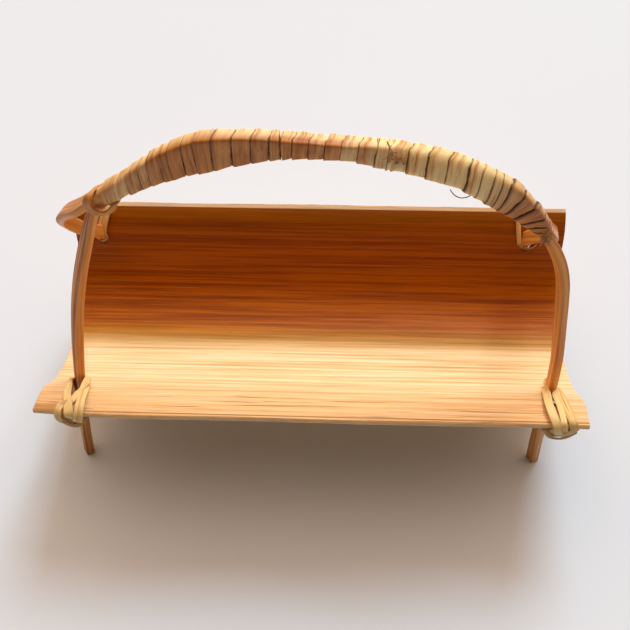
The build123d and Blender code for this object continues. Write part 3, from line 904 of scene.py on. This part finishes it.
frontLip, backLip = (-60.0, 83.5), (64.0, 84.0)
lashings = {  # each strand: points, with a share of the width where that changes; width; brown
    "lashingFrontLeft": {"node": "front_left_lashing", "about": frontLip, "strands": [
        ([(-136.9, -37, 62, 0.4), (-138.3, -39.3, 68.5, 0.45), (-135.6, -48.9, 79.8, 0.6),
          (-134.3, -56.3, 86.3, 0.8), (-132.8, -61.9, 89.3, 0.95), (-130.8, -68.2, 92, 1.1),
          (-129.6, -73.3, 91, 1.1), (-129.8, -73.2, 87.3, 1.0), (-131, -66, 83.5, 1.0),
          (-133, -55, 77, 1.0)], 4.9, 0.1),
        ([(-124.6, -49, 81), (-126.4, -53.1, 84), (-127.9, -56.8, 86.4), (-128.9, -61.1, 88.6),
          (-130.6, -65, 90.4), (-133.6, -66.8, 91.5), (-135.4, -70.6, 92.7), (-135.8, -73.6, 90.6),
          (-135.3, -74.2, 86), (-133.6, -73.6, 82.4), (-131.5, -72, 80.4)], 3.7, 0.25),
        ([(-131, -35.5, 63.5, 0.6), (-130, -37.1, 66.2, 0.7), (-128.3, -42.8, 72.7, 0.85),
          (-126, -50.6, 81.8), (-124.8, -61.6, 89.4), (-124.2, -69.2, 92.5), (-124.6, -73.6, 90.4),
          (-126.4, -74, 84.4), (-127.6, -70, 81.6), (-130, -60, 78)], 5.2, 0.0),
        ([(-135.4, -73, 87), (-133.4, -74.4, 84.6), (-131, -74.9, 82.2), (-128.4, -75.1, 80.6),
          (-125.6, -74.8, 82.4), (-124, -73.2, 86.6)], 3.4, 0.95),
        ([(-134, -72.8, 88.2), (-131, -73.8, 85.4), (-127.6, -73.9, 83.6), (-124.6, -72.8, 86)], 3.4, 1.2),
        # a wide deep brown strand under the rim behind the tie: painted shade under the lip
        ([(-136.6, -70, 84.6), (-132.6, -72.6, 81.4), (-128, -73, 79.8), (-123.8, -70.6, 84)], 6.4, 1.4),
        # three deep brown strands under the slot: painted shade, dark cane where only shade shows through the
        # opening
        ([(-139, -33, 54), (-138, -40, 61.5), (-136, -50, 72.5), (-134, -60, 80)], 5.0, 1.4),
        ([(-134.5, -33, 54), (-133.4, -40, 61.5), (-131.6, -50, 72.5), (-130, -60, 80)], 5.4, 1.4),
        ([(-130, -33, 54), (-129, -40, 61.5), (-127.4, -50, 72.5), (-126, -60, 80)], 5.0, 1.4),
    ]},
    "lashingFrontRight": {"node": "front_right_lashing", "about": frontLip, "strands": [
        ([(137.4, -33, 64), (135.2, -31.4, 64), (133, -35.6, 66.4), (130.9, -46.3, 77.8),
          (129.5, -55.4, 86.9), (130.1, -66, 92.2), (132.4, -73.8, 91), (134.1, -74.4, 84.4),
          (135, -70, 81.6), (136, -58, 78)], 4.7, 0.15),
        ([(136.5, -44, 74.6), (135.2, -49.8, 80.6), (135.1, -56.7, 86.4), (135.5, -65.8, 91),
          (136, -72.8, 91.8), (136.9, -74, 87.8), (137.4, -73.5, 84.2), (137, -67, 81.4)], 3.4, 0.2),
        ([(138.4, -37, 65.6), (137.2, -47.2, 77.8), (136.9, -55, 85.2), (138.2, -65.6, 91),
          (139.8, -72.6, 92), (140.6, -73.9, 88.2), (140.4, -72, 84.4)], 2.3, 0.1),
        ([(140.2, -37.5, 66.5), (139.5, -47.2, 78.1), (139.4, -55, 85.6), (140.6, -65.6, 91.4),
          (142, -72.6, 92.4), (142.8, -73.9, 88.4), (142.2, -72, 84.6)], 2.4, 0.1),
        ([(127.6, -72.8, 85.4), (128.8, -74.3, 82.8), (131.4, -74.9, 80.4), (136.1, -75.1, 80),
          (139.2, -74.9, 82.6), (142.4, -74.2, 87)], 3.4, 0.9),
        # the tie's second strand, painted paler as a highlight
        ([(130.2, -73, 86.6), (133.4, -74.4, 84.4), (137.8, -74.7, 84.8), (142.0, -74, 88)], 3.6, 0.45),
        # a wide deep brown strand under the rim behind the tie: painted shade under the lip
        ([(127.6, -70.8, 84.4), (133, -73, 80.2), (138, -73, 80.4), (143, -70.8, 85.4)], 6.4, 1.4),
        # three deep brown strands under the slot: painted shade, dark cane where only shade shows through the
        # opening
        ([(140, -33, 54), (139.6, -40, 61.5), (139, -50, 72.5), (138.6, -60, 80)], 5.0, 1.4),
        ([(135.6, -33, 54), (135.2, -40, 61.5), (134.6, -50, 72.5), (134.2, -60, 80)], 5.4, 1.4),
        ([(131, -33, 54), (130.8, -40, 61.5), (130.2, -50, 72.5), (129.8, -60, 80)], 5.0, 1.4),
    ]},
    "lashingBackLeft": {"node": "back_left_lashing", "about": backLip, "strands": [
        ([(-133.9, 56.4, 74), (-133.4, 55.7, 77.4), (-131.3, 59.3, 86), (-129.4, 65.4, 91.2),
          (-129.3, 72, 92.2), (-129.3, 73.2, 89.6), (-130, 70, 86), (-132, 65, 80),
          (-133.8, 60, 74)], 5.6, 0.8),
        ([(-131, 56.4, 77.6), (-130.6, 54.8, 75.6), (-133, 54.2, 74.6), (-135.6, 54.8, 75.8),
          (-135.8, 56.4, 78)],
         1.9, 0.8),
    ]},
    "lashingBackRight": {"node": "back_right_lashing", "about": backLip, "strands": [
        ([(123.7, 56.6, 74), (123.2, 55.5, 77), (122.1, 58, 83), (121.4, 61.8, 88.4), (121.2, 68, 92.2),
          (121.2, 73.2, 90.6), (121.6, 70, 86), (122.4, 64, 79), (123.4, 60, 74)], 2.9, 0.35),
        ([(123.3, 55.6, 77), (124.2, 54.6, 75), (127, 54.2, 73.8), (130.4, 54.2, 73.8),
          (133.4, 55.2, 76)], 2.3, 0.8),
        ([(125.2, 56.8, 80.6), (127.4, 56.4, 80.6), (129.6, 56.3, 80), (131.9, 56.6, 79.4)], 3.2, 0.25),
        ([(132.6, 56.4, 75), (132.4, 55.9, 78), (132.4, 60, 86), (132.6, 68, 92.2), (132.6, 73.2, 90.6),
          (132.2, 70, 86), (132, 64, 79)], 3.0, 1.0),
    ]},
}
strand = {"thickness": 0.9, "corner": 3.0, "points": 16, "steps": 90}


def buildLashing(name, spec, section):
    about = Vector((0, *spec["about"]))

    def outward(centre, tangent, row):
        away = centre - about
        away.x = 0
        return away

    parts, browns = [], []
    for k, (points, width, brown) in enumerate(spec["strands"]):
        points = [(*point[:3], 0.0, point[3] if len(point) > 3 else 1.0) for point in points]
        outline = roundedOutline(section["thickness"], width, section["corner"], section["points"])
        vertices, faces, coords = sweep(smoothLine(points, section["steps"]), outline, outward, 0.3)
        parts.append((vertices, faces, [(a + 40 * k, o, s) for a, o, s in coords]))
        browns += [brown] * len(vertices)
    return caneObject(name, joined(parts), caneLashing, browns)


for name, spec in lashings.items():
    lashing = buildLashing(name, spec, strand)
    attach(lashing, "root")
    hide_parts(spec["node"])
print("lashings made")

fray = {  # a tuft of random fibres, and fibres at chosen places as (points, width)
    "spliceKnot": {
        "tuft": {"centre": (39.8, -4.7, 224.5), "spread": (3.4, 0.4, 5.0), "count": 26,
                 "length": (1.2, 3.0), "width": 0.6, "seed": 11},
        "fibres": [([(36.4, -4.2, 236.5), (37.6, -4.6, 233.4), (39.2, -5.0, 230.6),
                     (41.2, -5.0, 230.4)], 0.7),
                   ([(38.6, -4.8, 230), (38, -5.2, 224), (36.6, -4.9, 217.6)], 1.3),
                   ([(40.6, -4.9, 226), (42.8, -5.3, 224.6), (45.6, -5.0, 224.4)], 1.4),
                   ([(45.2, -5.0, 224), (42.4, -5.2, 219.4), (38.6, -4.9, 217.2)], 1.3)],
    },
    "endFray": {
        "tuft": {"centre": (119.4, -4.6, 165.0), "spread": (3.2, 0.5, 3.4), "count": 30,
                 "length": (1.6, 4.0), "width": 0.5, "seed": 23},
        "fibres": [],
    },
    "looseFibre": {
        "tuft": None,
        "fibres": [([(67.6, -3.8, 202.6), (69.8, -4.4, 199.4), (72.8, -4.6, 197.6), (75.4, -4.4, 197.6),
                     (78.4, -3.8, 199.4)], 0.5)],
    },
}


def towardsFront(centre, tangent, row):
    return Vector((0, -1, 0))


def tuftParts(spec):
    random.seed(spec["seed"])
    outline = roundedOutline(0.3, spec["width"], 2.5, 6)
    parts = []
    for k in range(spec["count"]):
        start = Vector([c + random.uniform(-r, r) for c, r in zip(spec["centre"], spec["spread"])])
        way = Vector((random.uniform(-1, 1), random.uniform(-0.15, 0.05), random.uniform(-1, 1))).normalized()
        reach = random.uniform(*spec["length"])
        middle = start + way * reach / 2 + Vector((0, -random.uniform(0.3, 0.9), 0))
        line = smoothLine([tuple(start), tuple(middle), tuple(start + way * reach)], 8)
        vertices, faces, coords = sweep(line, outline, towardsFront, 0.15)
        parts.append((vertices, faces, [(a + 7 * k, o, s) for a, o, s in coords]))
    return parts


def buildFray(name, spec):
    parts = tuftParts(spec["tuft"]) if spec["tuft"] else []
    for points, width in spec["fibres"]:
        parts.append(sweep(smoothLine(points, 30), roundedOutline(0.5, width, 2.5, 8), towardsFront, 0.15))
    shape = joined(parts)
    return caneObject(name, shape, caneFray, [0.0] * len(shape[0]))


for name, spec in fray.items():
    ends = buildFray(name, spec)
    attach(ends, "root")
print("loose ends made")

stage = {"floorSize": 6.0, "paperTones": ((0.65, 0.72, 0.80), (0.67, 0.74, 0.82))}
half = stage["floorSize"] / 2
floor = meshObject("floor", [(-half, -half, 0), (half, -half, 0), (half, half, 0), (-half, half, 0)],
                   [(0, 1, 2, 3)], [])
paper = Shade("paper", 0.85)
paperTone = paper.node("ShaderNodeTexNoise", Scale=3.0, Vector=paper.coordinates()).outputs[0]
floor.data.materials.append(paper.done(paper.mix(paperTone, *stage["paperTones"])))

light = {
    "place": (0.52, 1.62, 2.19),  # metres
    "size": 1.12,
    "strength": 6.8,
    "colour": (0.66, 0.878, 1.0),
    "skyColour": (1.0, 0.70, 0.51),
    "skyLow": 0.0,
    "skyEdge": 0.28,  # how far round from its brightest direction the room light reaches
    "skyHigh": 1.99,
    "skyTowards": (0.0, 0.57, 0.82),
}
lamp = bpy.data.lights.new("window", "AREA")
lamp.shape = "DISK"
lamp.size = light["size"]
lamp.energy = light["strength"]
lamp.color = light["colour"]
# the same strength at any distance, as from a large window
lamp.use_nodes = True
lampTree = NodeTree(lamp.node_tree)
falloff = lampTree.node("ShaderNodeLightFalloff", Strength=1.0)
lampTree.feed(lampTree.nodes["Emission"].inputs["Strength"], falloff.outputs["Constant"])
lampObject = newObject("window", lamp)
lampObject.location = light["place"]
lampObject.rotation_euler = Vector(light["place"]).to_track_quat("Z", "Y").to_euler()
world = bpy.data.worlds.new("room")
world.use_nodes = True
# a soft room, brightest overhead and at the back
sky = NodeTree(world.node_tree)
background = sky.nodes["Background"].inputs
background["Color"].default_value = (*light["skyColour"], 1.0)
facing = sky.node("ShaderNodeVectorMath", {"operation": "DOT_PRODUCT"})
sky.feed(facing.inputs[0], sky.node("ShaderNodeTexCoord").outputs["Generated"])
sky.feed(facing.inputs[1], light["skyTowards"])
skyRise = sky.node("ShaderNodeMapRange", {"interpolation_type": "SMOOTHSTEP"},
                   Value=facing.outputs["Value"], From_Min=light["skyEdge"], From_Max=1.0,
                   To_Min=light["skyLow"], To_Max=light["skyHigh"])
sky.feed(background["Strength"], skyRise.outputs["Result"])
scene.world = world
scene.view_settings.view_transform = "Standard"

view = {"target": (0.00064, 0.0, 0.07955), "distance": 0.5851, "elevation": 58.65, "azimuth": 4.13,
        "roll": -2.39, "lens": 57.33}
camera = bpy.data.cameras.new("camera")
camera.lens = view["lens"]
camera.sensor_width = 36.0
cameraObject = newObject("camera", camera)
azimuth, elevation, roll = (math.radians(view[key]) for key in ("azimuth", "elevation", "roll"))
back = Vector((math.sin(azimuth) * math.cos(elevation), -math.cos(azimuth) * math.cos(elevation),
               math.sin(elevation)))
right = Vector((math.cos(azimuth), math.sin(azimuth), 0.0))
up = back.cross(right)
turnedRight = right * math.cos(roll) + up * math.sin(roll)
turnedUp = up * math.cos(roll) - right * math.sin(roll)
turning = Matrix((turnedRight, turnedUp, back)).transposed().to_4x4()
cameraObject.matrix_world = Matrix.Translation(Vector(view["target"]) + back * view["distance"]) @ turning
scene.camera = cameraObject

print("scene ready")
